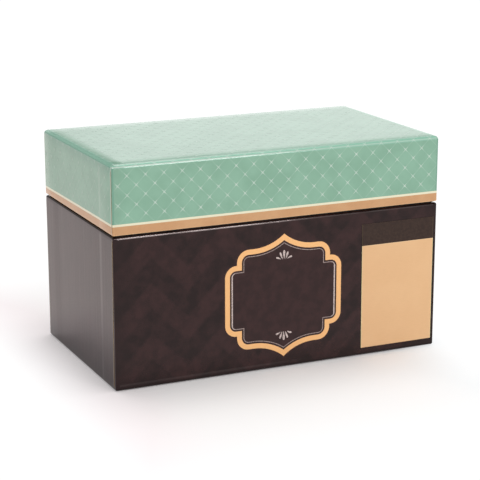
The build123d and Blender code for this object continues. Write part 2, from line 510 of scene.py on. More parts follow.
def dark_print(name, zigzags):
    """Dark brown paper under a gloss film, with or without its zigzags."""
    material, pen, shader = start_material(name)
    place = place_of(pen)
    x, y, z = place.parts()
    from_corner = box_length / 2 - x.size()
    shade = noise(pen, place, 6.0, detail=6.0).ramp(0.35, 0.65, 0.0, 0.5)
    if zigzags:
        # Painted shade: the print darkens towards both ends.
        shade = (shade + zigzag_stripes(pen) * zigzag_share) * from_corner.ramp(0, 14, 0.4, 1.0)
    else:
        shade = shade + 0.5
    # Painted shade: darker where the paper turns under at the foot.
    shade = shade * z.ramp(1.2, 2.2, 0.2, 1.0)
    # Painted highlights: a pale line under the rim and a faint one above the foot, on the front and
    # strongest on the left.
    highlight_breaks = noise(pen, place, 14.0, 2.0, 2.0, detail=3.0).ramp(0.35, 0.6, 0.5, 1.0)
    marks = (base_high.z - z).near(rim_highlight_depth, 0.2, 0.45) * highlight_breaks
    marks = marks + z.near(foot_highlight_z, 0.3, 0.9, 0.04)
    on_front = (y < front_y + front_skin) * (from_corner > highlight_margin)
    marks = marks * x.ramp(-20, 25, 1.0, 0.1) * on_front
    colour = marks.mix(shade.mix(BROWN, BROWN_LIGHT), EDGE_HIGHLIGHT)
    colour = (cut_edge(place) * 0.35).mix(colour, CREAM)
    wire(pen, shader, "IOR", 1.41)
    wire(pen, shader, "Specular Tint", (1.0, 0.78, 0.77, 1.0))
    finish_shader(pen, shader, colour, film_roughness, film_height(pen, place))
    return material


base_paper = dark_print("base_paper", True)
panel_paper = dark_print("panel_paper", False)
print("zigzag", zigzag_width, "by", zigzag_rise)

# %% [markdown]
# Everything else is unprinted stock, without a film: grey board made from waste paper, cream
# linings, a dark paper underneath, a dark paper on the neck that keeps the seam between lid and base
# dark, and gummed tape. Each has fibres between two colours, drawn out along the way it was rolled,
# and its own tooth. The cut edge of a printed sheet shows its core, which is neither mint nor brown
# but the raw tan of the stock.

# %% Raw paper, greyboard, card and tape
def plain_stock(name, dark, pale, grain, roughness, tooth):
    """An unprinted stock: fibres between two colours, and a tooth in micrometres."""
    material, pen, shader = start_material(name)
    place = place_of(pen)
    fibres = noise(pen, place, *grain, detail=4.0)
    specks = noise(pen, place, 0.7).ramp(0.6, 0.7)
    colour = (specks * 0.35).mix(fibres.ramp(0.3, 0.7).mix(ink(*dark), ink(*pale)), ink(*dark))
    height = noise(pen, place, 0.25, detail=3.0) * tooth + fibres * tooth
    finish_shader(pen, shader, colour, roughness, height)
    return material


stock_looks = {
    "paper_core": ((158, 126, 88), (188, 156, 116), (3.0, 3.0, 3.0), 0.75, 4),
    "greyboard": ((140, 134, 124), (172, 166, 154), (4.0, 1.2, 4.0), 0.9, 20),
    "lining_paper": ((226, 216, 194), (240, 232, 214), (6.0, 6.0, 1.5), 0.7, 5),
    "underside_paper": ((40, 32, 31), (58, 48, 46), (5.0, 1.5, 5.0), 0.6, 6),
    "neck_card": ((34, 27, 26), (50, 41, 39), (1.5, 1.5, 6.0), 0.6, 6),
    "stay_tape": ((196, 166, 124), (216, 190, 150), (1.0, 1.0, 8.0), 0.85, 8),
}
stocks = {name: plain_stock(name, *looks) for name, looks in stock_looks.items()}
paper_core = stocks["paper_core"]
print("stocks", sorted(stocks))

# %% [markdown]
# The hinge is a strip of paper pressed with a fine leather-like grain, which hides how often it
# folds. A cell pattern gives the grain, and the low lines between the cells are the creases.

# %% The hinge strip's grain
def grained_paper():
    """Dark brown paper with a pressed grain."""
    material, pen, shader = start_material("hinge_paper")
    place = place_of(pen)
    cells = pen.node(
        "ShaderNodeTexVoronoi", {"feature": "DISTANCE_TO_EDGE"}, {"Vector": place, "Scale": 1.6}
    )
    raised = cells.ramp(0.02, 0.22)
    colour = raised.mix(ink(30, 23, 22), ink(52, 42, 40))
    height = raised * 45 + noise(pen, place, 0.2) * 6
    finish_shader(pen, shader, colour, roughness=0.42, height=height)
    return material


stocks["hinge_paper"] = grained_paper()
print("grain ready")

# %% [markdown]
# The label is one piece of kraft paper with a dark band printed across its head, and plain
# space below to write on. It has no film, so it is rougher and mirrors less. The colour changes
# at one height, paler just under it, and a hair's breadth along the cut edges shows raw paper.
# The left edge leans, so the label's slip from the model's edge changes with the height.

# %% The label's print
label_head = 12.2
label_cut = 0.22
label_slips = (1.1, 0.8)
head_cut_share = 0.07


def label_print():
    """Kraft paper with a dark head, and pale where it was cut."""
    material, pen, shader = start_material("label_paper")
    place = place_of(pen)
    x, _, z = place.parts()
    line = label_high.z - label_head
    kraft = pen.mix(kraft_colour(pen, place, 8, standing=True), ink(249, 206, 158), 0.55)
    kraft = (line - z).ramp(0.0, 0.5, 0.6, 0.0).mix(kraft, ink(246, 214, 170))
    speckle = noise(pen, place, 1.2, detail=4.0)
    head = speckle.ramp(0.3, 0.7).mix(ink(50, 33, 26), ink(60, 42, 33))
    face = (z > line).mix(kraft, head)
    slip = z.ramp(label_low.z, label_high.z, *label_slips)
    side = (x - label_low.x - slip).at_most(label_high.x - x)
    cut = (side < label_cut) * (head_cut_share + (1 - head_cut_share) * (z < line))
    colour = cut.mix(face, ink(240, 222, 168))
    wire(pen, shader, "IOR", 1.3)
    tooth = noise(pen, place, 0.5) * 1.5 + noise(pen, place, 20.0) * 40
    finish_shader(pen, shader, colour, roughness=0.34, height=tooth)
    return material


stocks["label_paper"] = label_print()
print("label head", label_head)

# %% [markdown]
# The dividers are kraft cards. Each is ruled for notes, and its tab is printed in one of the
# box's colours, in turn, so that neighbours are told apart. The tab's width is read from the
# card's own corners, and its frame is drawn a little inside its edge.

# %% The dividers' print
tab_height = 10.5
ruling_gap = 8.0
ruling_line = 0.3
ruling_margin = 8.0
frame_inset = 1.3
tab_print_gap = 0.8
clear_of_foot = 3.0
tab_inks = [ink(148, 192, 170), ink(52, 40, 38), ink(238, 231, 200), ink(186, 92, 66)]
frame_inks = [ink(240, 240, 226), ink(228, 183, 135), ink(120, 150, 134), ink(240, 231, 206)]


def tab_span(node, foot_of_tab):
    """Where a divider's tab begins and ends along X, in millimetres."""
    well_up = foot_of_tab + clear_of_foot
    xs = [v.co.x / MM for v in nodes[node].data.vertices if v.co.z / MM > well_up]
    return min(xs), max(xs)


def divider_print(node, number):
    """Kraft card with rulings and a coloured tab."""
    _, high = corners_of(node)
    foot_of_tab = high.z - tab_height
    left, right = tab_span(node, foot_of_tab)
    material, pen, shader = start_material(f"{node}_card")
    place = place_of(pen)
    x, _, z = place.parts()
    card = kraft_colour(pen, place, 4, standing=True)
    below = foot_of_tab - z
    ruled = (below - ruling_gap / 2).fold(ruling_gap / 2).fade(0, ruling_line, 0.5)
    ruled = ruled * (below > ruling_gap) * (x.size() < high.x - ruling_margin)
    card = ruled.mix(card, ink(120, 84, 60))
    rim = (x - left).at_most(right - x).at_most(high.z - z)
    framed = rim.near(frame_inset, 0.15, 0.3)
    tab = framed.mix(tab_inks[number % len(tab_inks)], frame_inks[number % len(frame_inks)])
    colour = ((z > foot_of_tab + tab_print_gap) * (rim > 0.0)).mix(card, tab)
    tooth = noise(pen, place, 0.5) * 3 + noise(pen, place, 40.0) * 60
    finish_shader(pen, shader, colour, roughness=0.5, height=tooth)
    return material


divider_nodes = sorted(name for name in nodes if name.startswith("divider_"))
divider_cards = {name: divider_print(name, i) for i, name in enumerate(divider_nodes)}
print("dividers", len(divider_cards))

# %% [markdown]
# Each node of the model wears the stock that its record names. The two wraps are left as they
# are, because new sheets take their place below.

# %% Dress the boards and cards
dressed = 0
for part in frame["record"]["subparts"]:
    name = part["node"]
    stock = stocks.get(part["material_slot"]) or divider_cards.get(name)
    if stock is not None:
        nodes[name].material_slots[0].material = stock
        dressed += 1
print("dressed", dressed, "nodes")

# %% [markdown]
# A paper model is easily left with two points in one place, or with faces that look inwards.
# So each mesh is closed up before it becomes an object. Where it is smooth, its normals are then
# weighed by the size of the faces, so that the large flat faces stay flat up to the folds.

# %% Helpers for meshes
same_place = 0.0001


def join_loops(mesh, loops):
    """A strip of faces between each loop of points and the next."""
    for a, b in zip(loops, loops[1:]):
        for k in range(len(a)):
            n = (k + 1) % len(a)
            mesh.faces.new((a[k], a[n], b[n], b[k]))


def close_up(mesh):
    """Joins points that fall together, as at the ends of a step, and turns all faces outwards."""
    bmesh.ops.remove_doubles(mesh, verts=mesh.verts, dist=same_place * MM)
    bmesh.ops.recalc_face_normals(mesh, faces=mesh.faces)


def keep_shape(piece):
    """Makes what the modifiers give the piece's own mesh."""
    graph = bpy.context.evaluated_depsgraph_get()
    data = bpy.data.meshes.new_from_object(piece.evaluated_get(graph))
    piece.modifiers.clear()
    piece.data = data
    data.name = piece.name


def settle(name, mesh, materials, sharp_angle=None):
    """Turns a bmesh into an object with its materials. Beyond a sharp angle its edges stay sharp."""
    data = bpy.data.meshes.new(name)
    mesh.to_mesh(data)
    mesh.free()
    for material in materials:
        data.materials.append(material)
    piece = bpy.data.objects.new(name, data)
    bpy.context.scene.collection.objects.link(piece)
    if sharp_angle is not None:
        data.set_sharp_from_angle(angle=sharp_angle)
        weigh = piece.modifiers.new("weigh", "WEIGHTED_NORMAL")
        weigh.keep_sharp = True
        keep_shape(piece)
    return piece


print("points closer than", same_place, "mm are joined")

# %% [markdown]
# A wrap is one sheet, cut with a notch at each corner and folded round the boards. The flaps of
# the front and the back turn round the corners onto the ends, and the end flaps are pasted over
# them. So each upright corner shows the cut edge of an end flap, and a little further along the
# end of the turned flap presses through as a soft upright ridge. The solid wrap has neither, so
# two meshes replace it. Each is a profile, from the closed side over the rim to the end of the
# tuck, which a plan carries round the box.

# %% The wrap's profile and plan
paper = 0.2
corner_radius = 0.55
flap_step = 0.2
flap_reach = 18.5
front_slope = 4.4
back_slope = 14.0
flap_drop = 0.2
tuck = 15.0
lid_wall, lid_rim = 1.9, 0.6
base_wall, base_rim = 2.4, 1.0
foot_edge = 1.0
corner_steps = 5
ridge_steps = 6
edge_steps = 10
rim_steps = 6


def quarter_turn(steps):
    """The angle, sine and cosine at each step of a quarter turn."""
    angles = [i / steps * math.pi / 2 for i in range(steps + 1)]
    return [(angle, math.sin(angle), math.cos(angle)) for angle in angles]


def outer_profile(height, wall, edge, rim, tuck_length, whole):
    """(inset, level) from the closed side over the rim and down inside to the tuck's end."""
    points = [] if whole else [(tuck_length, 0.0)]
    under = quarter_turn(edge_steps)
    points += [(edge - edge * sine, edge - edge * cosine) for _, sine, cosine in under]
    points += [(0.0, edge + 2.0), (0.0, height / 2), (0.0, height - rim - 1.5)]
    over = quarter_turn(rim_steps)
    points += [(rim - rim * cosine, height - rim + rim * sine) for _, sine, cosine in over]
    points += [(wall - rim + rim * sine, height - rim + rim * cosine) for _, sine, cosine in over]
    return points + [(wall, height - tuck_length)]


def unrolled(points, edge):
    """How far along the sheet each point lies, from where the closed side's flat ends."""
    lengths = [0.0]
    for (a, b), (c, d) in zip(points, points[1:]):
        lengths.append(lengths[-1] + math.hypot(c - a, d - b))
    start = lengths[[round(p[0], 6) for p in points].index(round(edge, 6))]
    return [length - start for length in lengths]


def corner_plan(slope, cut):
    """(from the end, from the front, push, run) round one corner, from the front to the end."""
    points = []
    for angle, sine, cosine in quarter_turn(corner_steps):
        from_end, from_front = corner_radius * (1 - sine), corner_radius * (1 - cosine)
        points.append((from_end, from_front, 0.0, corner_radius * (1 - angle)))
    points.append((0.0, cut, 0.0, corner_radius * (2 - math.pi / 2) - cut))
    points.append((0.0, cut, 1.0, 0.0))
    for i in range(ridge_steps + 1):
        share = i / ridge_steps
        smooth = share * share * (3 - 2 * share)
        reach = flap_reach + (share - 0.5) * slope
        points.append((0.0, reach, 1.0 + (flap_drop - 1.0) * smooth, 0.0))
    return points


lid_height = lid_high.z - lid_low.z
lid_profile = outer_profile(lid_height, lid_wall, edge_radius, lid_rim, tuck, True)
print("profile points", len(lid_profile))

# %% [markdown]
# The mesh is a grid: one ring of plan points for each profile point. Flat panels side by side
# could stand for a wrap too, but only one skin lets the print run on over the folds. The sheet's
# outer and inner faces are both profiles, and joined they close the paper's thickness.

# %% Rings and their sides
def ring_points(inset, push, cut):
    """One turn round the box, anticlockwise from the front-left corner."""
    ring = []
    turns = [(-1, -1, True), (1, -1, False), (1, 1, True), (-1, 1, False)]
    for sx, sy, backwards in turns:
        points = corner_plan(front_slope if sy < 0 else back_slope, cut)
        points = points[::-1] if backwards else points
        for from_end, from_front, share, run in points:
            x = sx * (box_length / 2 - inset - from_end + share * push * flap_step)
            y = sy * (box_depth / 2 - inset - from_front)
            ring.append((x, y, sx * (box_length / 2 - inset - run)))
    return ring


def segment_sides():
    """Which side each stretch of a ring belongs to. The step at a cut edge is a side too."""
    sides = []
    for end, backwards in (("left", True), ("right", False), ("right", True), ("left", False)):
        corner = [end] * (ridge_steps + 1) + ["cut"] + ["long"] * (corner_steps + 1)
        sides += corner + ["long"] if backwards else corner[::-1] + [end]
    return sides


print("points in a ring", len(segment_sides()))

# %% [markdown]
# With each point goes a mark, which says where it lies on the flat sheet: its place along the
# box, and how far from the closed side's flat it is along the paper.

# %% Rings of one sheet
def sheet_rings(mesh, node, is_lid, wall, edge, rim):
    """A sheet's rings of points, their marks, and how many rings are on the outer face."""
    low, high = corners_of(node)
    height = high.z - low.z
    outer = outer_profile(height, wall, edge, rim, tuck, is_lid)
    inner = outer_profile(
        height - 2 * paper, wall - 2 * paper, edge - paper, rim - paper, tuck - paper, is_lid
    )
    inner = [(inset + paper, level + paper) for inset, level in inner]
    along = unrolled(outer, edge)
    rings, marks = [], []
    for (inset, level), length in zip(outer + inner[::-1], along + along[::-1]):
        on_flat_wall = inset == 0.0 and edge + 1 < level < height - rim - 1
        z = high.z - level if is_lid else low.z + level
        cut = cut_back + cut_taper * max(0.0, 1 - z / base_high.z)
        ring = ring_points(inset, 1.0 if on_flat_wall else 0.0, cut)
        rings.append([mesh.verts.new((x * MM, y * MM, z * MM)) for x, y, _ in ring])
        marks.append([(y, run_x, length) for _, y, run_x in ring])
    return rings, marks, len(outer)


def place_on_sheet(mark, segment, is_lid, edge):
    """A marked point's place on the flat sheet, in millimetres."""
    y, run_x, length = mark
    on_long = segment in ("long", "cut")
    if not is_lid:
        return run_x if on_long else y, length - edge * math.pi / 2 + edge + base_low.z
    if on_long:
        return run_x, math.copysign(fold_y + length, y)
    return (-1 if segment == "left" else 1) * (fold_x + length), y


print("the lid's flat reaches", round(fold_x, 2), "by", round(fold_y, 2), "from its middle")

# %% [markdown]
# The lid's sheet covers its closed side too. The base's goes only round the walls, since a
# paper of its own covers the underside, and it lies closer round the foot than the model's.

# %% Fold the wraps
sharp_fold = math.radians(35)


def fold_wrap(name, node, is_lid, wall, edge, rim, print_material):
    """A sheet folded round a tray, in the place of a node of the model."""
    mesh = bmesh.new()
    rings, marks, outer_count = sheet_rings(mesh, node, is_lid, wall, edge, rim)
    sides = segment_sides()
    layer = mesh.loops.layers.uv.new("sheet")
    for i in range(len(rings) - 1 if is_lid else len(rings)):
        j = (i + 1) % len(rings)
        for k, segment in enumerate(sides):
            n = (k + 1) % len(sides)
            face = mesh.faces.new((rings[i][k], rings[i][n], rings[j][n], rings[j][k]))
            face.smooth = True
            face.material_index = 0 if i < outer_count - 1 and segment != "cut" else 1
            corners = (marks[i][k], marks[i][n], marks[j][n], marks[j][k])
            for loop, mark in zip(face.loops, corners):
                loop[layer].uv = place_on_sheet(mark, segment, is_lid, edge)
    if is_lid:
        for ring, material_index in ((rings[0], 0), (rings[-1], 1)):
            face = mesh.faces.new(ring)
            face.material_index = material_index
            face.smooth = True
            for loop in face.loops:
                loop[layer].uv = (loop.vert.co.x / MM, loop.vert.co.y / MM)
    close_up(mesh)
    return settle(name, mesh, [print_material, paper_core], sharp_fold)


lid_sheet = fold_wrap("lid_sheet", "lid_wrap", True, lid_wall, edge_radius, lid_rim, lid_paper)
base_sheet = fold_wrap("base_sheet", "base_wrap", False, base_wall, foot_edge, base_rim, base_paper)
for sheet, body, node in ((lid_sheet, "lid", "lid_wrap"), (base_sheet, "base", "base_wrap")):
    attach(sheet, body)
    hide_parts(node)
    print(sheet.name, len(sheet.data.polygons), "faces")

# %% [markdown]
# The hinge is one strip of paper over the seam at the back. The solid model splits it in two stiff
# leaves, but paper bends, so one sheet takes their place. Across the seam's own gap it has fine rows
# of faces, where a fold would fall.

# %% The hinge strip
fold_rows = 16
hinge_lip = 0.4


def hinge_strip():
    """One sheet across the fold, with fine rows in the gap."""
    fold_z = (leaf_high.z + upper_leaf_low.z) / 2
    gap = (lid_low.z - base_high.z) / 2
    levels = [leaf_low.z, leaf_low.z + hinge_lip]
    levels += [fold_z + gap * (2 * i / fold_rows - 1) for i in range(fold_rows + 1)]
    levels += [upper_leaf_high.z - hinge_lip, upper_leaf_high.z]
    around = (
        (leaf_low.x, leaf_low.y), (leaf_high.x, leaf_low.y),
        (leaf_high.x, leaf_high.y), (leaf_low.x, leaf_high.y),
    )
    mesh = bmesh.new()
    rings = [[mesh.verts.new((x * MM, y * MM, z * MM)) for x, y in around] for z in levels]
    join_loops(mesh, rings)
    mesh.faces.new(rings[0])
    mesh.faces.new(rings[-1])
    close_up(mesh)
    piece = settle("hinge_strip", mesh, [stocks["hinge_paper"]])
    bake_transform(piece)
    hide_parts("hinge_leaf_base", "hinge_leaf_lid")
    return piece


strip = hinge_strip()
print("strip", len(strip.data.polygons), "faces")

# %% [markdown]
# The printed ornament is a bracket frame: a kraft border with an ogee rising to a point above
# and below, a round shoulder, a notch and a round lobe at each corner. All its lines are one
# outline, moved inwards by different amounts, so one function draws a quarter of it from arcs
# and the rest is that quarter turned over.

# %% The bracket outline
ornament_x = 1.43
ornament_z = 40.5
half_width = 34.53
half_height = 34.2
shoulder_z = 27.6
shoulder_start = 17.8
shoulder_end = 20.8
shoulder_radius = 6.8
lobe_x = 28.13
lobe_z = 13.1
lobe_radius = 6.4
ogee_rise = half_height - shoulder_z
ogee_radius = (shoulder_start ** 2 + ogee_rise ** 2) / (2 * ogee_rise)
ogee_steps = 16
round_steps = 10


def arc(centre_x, centre_z, radius, start, end, steps):
    """Points on an arc, with angles from straight up towards the right."""
    turns = [start + (end - start) * i / steps for i in range(steps + 1)]
    return [(centre_x + radius * math.sin(t), centre_z + radius * math.cos(t)) for t in turns]


def quarter(inset, side_inset):
    """From the top point to the middle of the right side."""
    radius = ogee_radius + inset
    tip = -math.asin(shoulder_start / radius)
    centre_z = shoulder_z + ogee_radius
    points = arc(shoulder_start, centre_z, radius, math.pi - tip, math.pi, ogee_steps)
    centre_z = shoulder_z - shoulder_radius
    radius = shoulder_radius - inset
    points += arc(shoulder_end, centre_z, radius, 0, math.pi / 2, round_steps)
    notch_x = shoulder_end + shoulder_radius - inset
    lobe = lobe_radius - inset
    start = math.asin(max(0.0, notch_x - lobe_x) / lobe)
    points.append((notch_x, lobe_z + lobe * math.cos(start)))
    points += arc(lobe_x, lobe_z, lobe, start, math.pi / 2, round_steps)
    points.append((half_width - inset, 0.0))
    if side_inset:
        points = [(min(x, half_width - inset - side_inset), z) for x, z in points]
    return points


def outline(inset, side_inset=0.0):
    """The whole closed outline, as X and Z on the front."""
    first = quarter(inset, side_inset)
    lower = [(x, -z) for x, z in reversed(first[:-1])]
    right = first + lower
    left = [(-x, z) for x, z in reversed(right[1:-1])]
    return [(ornament_x + x, ornament_z + z) for x, z in right + left]


print("ogee radius", round(ogee_radius, 2), "points", len(outline(0)))

# %% [markdown]
# Each ink lies on the paper as a film a few hundredths of a millimetre thick. It could be drawn
# in the base's shader, but as a film of its own its edge stays crisp from any distance. A film
# is a closed sheet: it sinks a little into the paper, so that no gap shows under its edge.

# %% Films of ink
film_sink = 0.01


def film_points(mesh, points, lift):
    """Vertices on the front at a lift above the paper, in millimetres."""
    return [mesh.verts.new((x * MM, (front_y - lift) * MM, z * MM)) for x, z in points]


def band_film(name, outer, inner, lift, material):
    """A closed film between two outlines."""
    mesh = bmesh.new()
    corners = ((outer, lift), (inner, lift), (inner, -film_sink), (outer, -film_sink))
    loops = [film_points(mesh, points, level) for points, level in corners]
    join_loops(mesh, loops + loops[:1])
    close_up(mesh)
    return settle(name, mesh, [material])


def solid_film(name, points, lift, material):
    """A closed film that fills an outline."""
    mesh = bmesh.new()
    loops = [film_points(mesh, points, level) for level in (lift, -film_sink)]
    for loop in loops:
        mesh.faces.new(loop)
    join_loops(mesh, loops)
    close_up(mesh)
    return settle(name, mesh, [material])


print("films sink by", film_sink)

# %% [markdown]
# Two inks print the ornament: the kraft of the border, and a chalky pink-white for the thin line and
# the fans. Both lie under the same gloss film as the brown around them. The thin line is scuffed
# thinner except down its two upright sides. The lattice's stars have a third ink, a pale mint, which
# is stronger on the two long sides than on the top and the ends, where their weakness paints the
# gloss washing them out.

# %% The films' inks
def film_ink(name, colour_of):
    """An ink under the gloss film. colour_of gives its colour from a pen and a place."""
    material, pen, shader = start_material(name)
    place = place_of(pen)
    finish_shader(pen, shader, colour_of(pen, place), film_roughness, film_height(pen, place))
    return material


def border_colour(pen, place):
    """Kraft with its fibres at a slant across the front."""
    return pen.mix(kraft_colour(pen, place, -35, standing=True), ink(255, 193, 125), 0.85)


def chalk_grains(pen, place):
    """How well the chalk covers the paper."""
    return noise(pen, place, 0.5, detail=3.0).ramp(0.35, 0.6)


def chalk_colour(pen, place):
    """Chalk: pale, and thin in places."""
    return chalk_grains(pen, place).mix(ink(150, 130, 126), ink(222, 204, 198))


def line_colour(pen, place):
    """The thin line: chalk, and scuffed thinner except down its two upright sides."""
    aside = (place.parts()[0] - ornament_x).size()
    upright = aside.ramp(half_width - 6.0, half_width - 5.2)
    thin = chalk_grains(pen, place).mix(ink(112, 94, 90), ink(172, 152, 146))
    return upright.mix(thin, chalk_colour(pen, place))


def star_colour(pen, place):
    """The stars' pale mint, weaker on the top and the ends, which paints how the gloss washes them
    out there.
    """
    grains = noise(pen, place, 1.0).ramp(0.3, 0.7)
    _, y, z = place.parts()
    on_long = (y.size() > box_depth / 2 - 0.4) * (z < lid_high.z - edge_radius)
    # Painted reflection: the stars are weaker on the top and the ends, as if the gloss washed them
    # out.
    strength = 0.5 + 0.5 * on_long
    return strength.mix(MINT, grains.mix(ink(172, 198, 182), ink(192, 211, 198)))


border_ink = film_ink("border_ink", border_colour)
chalk_ink = film_ink("chalk_ink", chalk_colour)
line_ink = film_ink("line_ink", line_colour)
star_ink = film_ink("star_ink", star_colour)
print("film inks", [made.name for made in (border_ink, chalk_ink, line_ink, star_ink)])

# %% [markdown]
# The ornament is printed in three films: a plain brown panel that interrupts the zigzags, the
# kraft border on its rim, and the thin line a little inside the border. The panel reaches past
# the border by a narrow halo, as the original does to keep the border clear of the pattern.

# %% Print the ornament
border_width = 2.8
line_inset = 3.75
line_width = 0.42
upright_extra = 0.3
halo = 0.8
panel_lift = 0.01
ink_lift = 0.03
line_outlines = outline(line_inset), outline(line_inset + line_width, upright_extra)
ornament = [
    solid_film("ornament_panel", outline(-halo), panel_lift, panel_paper),
    band_film("ornament_border", outline(0), outline(border_width), ink_lift, border_ink),
    band_film("ornament_line", *line_outlines, ink_lift, line_ink),
]
for film in ornament:
    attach(film, "base")
print("ornament", [len(film.data.polygons) for film in ornament])

# %% [markdown]
# The label was cut by hand and stuck on by eye: its left edge isn't quite upright, and stands a
# little further in than the model's plain sheet. It is one closed sheet, as thick as that one.

# %% Stick on the label
foot_slip, head_slip = label_slips
label_corners = [
    (label_low.x + foot_slip, label_low.z),
    (label_high.x, label_low.z),
    (label_high.x, label_high.z),
    (label_low.x + head_slip, label_high.z),
]
label = solid_film("label_sheet", label_corners, front_y - label_low.y, stocks["label_paper"])
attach(label, "base")
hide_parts("front_label")
print("label thickness", round(front_y - label_low.y, 2))

# %% [markdown]
# What repeats is grown with Geometry Nodes. A tree takes named sizes, and the object that grew
# it keeps only the finished mesh. Two trees follow: one for the fans' petals and one for the
# stars of the lattice. Both print films, so both need a back that closes them.

# %% Helpers for growing
weld_distance = 0.001


def start_tree(name, sizes):
    """A Geometry Nodes tree with named inputs, its pen, and those inputs by name."""
    tree = bpy.data.node_groups.new(name, "GeometryNodeTree")
    tree.interface.new_socket("Geometry", in_out="OUTPUT", socket_type="NodeSocketGeometry")
    for title in sizes:
        tree.interface.new_socket(title, in_out="INPUT", socket_type="NodeSocketFloat")
    pen = Pen(tree)
    group = pen.node("NodeGroupInput")
    return tree, pen, {title: group.also(title) for title in sizes}


def vector(pen, **parts):
    """A vector from its X, Y and Z. What isn't given is nought."""
    return pen.node("ShaderNodeCombineXYZ", None, parts)


def moved(pen, geometry, **place):
    """A geometry whose points take a new Position or are shifted by an Offset."""
    return pen.node("GeometryNodeSetPosition", None, {"Geometry": geometry, **place})


def joined(pen, *pieces):
    """Several geometries as one."""
    both = pen.node("GeometryNodeJoinGeometry")
    for piece in pieces:
        pen.tree.links.new(piece.socket, both.socket.node.inputs[0])
    return both


def closed(pen, face, back):
    """A film's face and its back, joined where their edges meet."""
    turned = pen.node("GeometryNodeFlipFaces", None, {"Mesh": back})
    both = {"Geometry": joined(pen, face, turned), "Distance": weld_distance}
    return pen.node("GeometryNodeMergeByDistance", None, both)


def end_tree(pen, geometry, material):
    """Realize, set the material, bring millimetres to metres, and send it out."""
    real = pen.node("GeometryNodeRealizeInstances", None, {"Geometry": geometry})
    scaled = pen.node("GeometryNodeTransform", None, {"Geometry": real, "Scale": (MM, MM, MM)})
    done = pen.node("GeometryNodeSetMaterial", None, {"Geometry": scaled, "Material": material})
    pen.node("NodeGroupOutput", None, {"Geometry": done})


def grow(name, tree, sizes):
    """An object whose mesh is what the tree makes from these sizes."""
    piece = bpy.data.objects.new(name, bpy.data.meshes.new(name))
    bpy.context.scene.collection.objects.link(piece)
    modifier = piece.modifiers.new("grow", "NODES")
    modifier.node_group = tree
    for item in tree.interface.items_tree:
        if item.in_out == "INPUT":
            modifier[item.identifier] = float(sizes[item.name])
    keep_shape(piece)
    return piece


print("points closer than", weld_distance, "mm are welded")

# %% [markdown]
# A fan is five petals side by side. One petal is a circle pulled into a drop, and the tree sets
# five points in a row, turns a petal outwards on each, makes the outer ones shorter and lets
# their tips droop. The lower fan is the upper one turned by half a turn.

# %% Grow the fans
fan_sizes = {
    "Petals": 5,
    "Petal Length": 5.0,
    "Petal Width": 1.9,
    "Spacing": 0.95,
    "Turn": math.radians(20),
    "Shrink": 0.16,
    "Droop": 0.09,
    "Straight": 2.0,
    "Foot Height": 20.2,
    "Thickness": 0.03,
}
foot_share = 0.2
inner_turn = 0.6


def petal_row(pen, size):
    """Petals side by side, turned outwards and shorter towards the ends of the row."""
    circle = pen.node("GeometryNodeCurvePrimitiveCircle", None, {"Resolution": 20, "Radius": 1.0})
    x, y, _ = pen.node("GeometryNodeInputPosition").parts()
    rise = (y + 1) * 0.5
    across = x * size["Petal Width"] * 0.5 * (rise * (1 - foot_share) + foot_share)
    drop = moved(pen, circle, Position=vector(pen, X=across, Y=rise * size["Petal Length"]))
    petal = pen.node("GeometryNodeFillCurve", None, {"Curve": drop})
    points = pen.node("GeometryNodePoints", None, {"Count": size["Petals"]})
    number = pen.node("GeometryNodeInputIndex") - (size["Petals"] - 1) * 0.5
    seats = moved(pen, points, Position=vector(pen, X=number * size["Spacing"]))
    angle = number * size["Turn"] * (inner_turn + (1 - inner_turn) * number.size())
    shrink = 1 - number.size() * size["Shrink"]
    return pen.node(
        "GeometryNodeInstanceOnPoints",
        None,
        {
            "Points": seats,
            "Instance": petal,
            "Rotation": vector(pen, Z=angle * -1),
            "Scale": vector(pen, X=shrink, Y=shrink, Z=1.0),
        },
    )


def fan_tree():
    """The tree that grows both fans."""
    tree, pen, size = start_tree("fan", fan_sizes)
    petals = petal_row(pen, size)
    flat = pen.node("GeometryNodeRealizeInstances", None, {"Geometry": petals})
    x = pen.node("GeometryNodeInputPosition").parts()[0]
    past = (x.size() - size["Straight"]).at_least(0)
    bent = moved(pen, flat, Offset=vector(pen, Y=past * past * size["Droop"] * -1))
    thick = pen.node(
        "GeometryNodeExtrudeMesh",
        None,
        {"Mesh": bent, "Offset Scale": size["Thickness"], "Individual": False},
    )
    up = {"Geometry": closed(pen, thick, bent), "Translation": vector(pen, Y=size["Foot Height"])}
    fan = pen.node("GeometryNodeTransform", None, up)
    other = pen.node("GeometryNodeTransform", None, {"Geometry": fan, "Rotation": (0, 0, math.pi)})
    stood = {
        "Geometry": joined(pen, fan, other),
        "Rotation": (math.pi / 2, 0, 0),
        "Translation": (ornament_x, front_y, ornament_z),
    }
    end_tree(pen, pen.node("GeometryNodeTransform", None, stood), chalk_ink)
    return tree


fans = grow("ornament_fans", fan_tree(), fan_sizes)
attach(fans, "base")
print("fans", len(fans.data.polygons), "faces")

# %% [markdown]
# A small star is printed at each crossing of the lattice, some hundreds in all, over the top and
# down all four sides. Each has only 32 faces: a fan of triangles above, and the same fan sunk in
# the middle below, so that the film is thin but closed. The tree sets the stars on the flat sheet
# and then folds it with the same sums as the wrap. Stars set on the finished box one side
# at a time would need five grids, which would have to meet at the folds.

# %% A star and the sheet's fold
star_sizes = {
    "Pitch": lattice_pitch,
    "Columns": 29,
    "Rows": 41,
    "Long Ray": star_ray,
    "Short Ray": 0.5,
    "Waist": 0.55,
    "Lift": 0.025,
    "Depth": 0.03,
    "Edge": edge_radius,
}


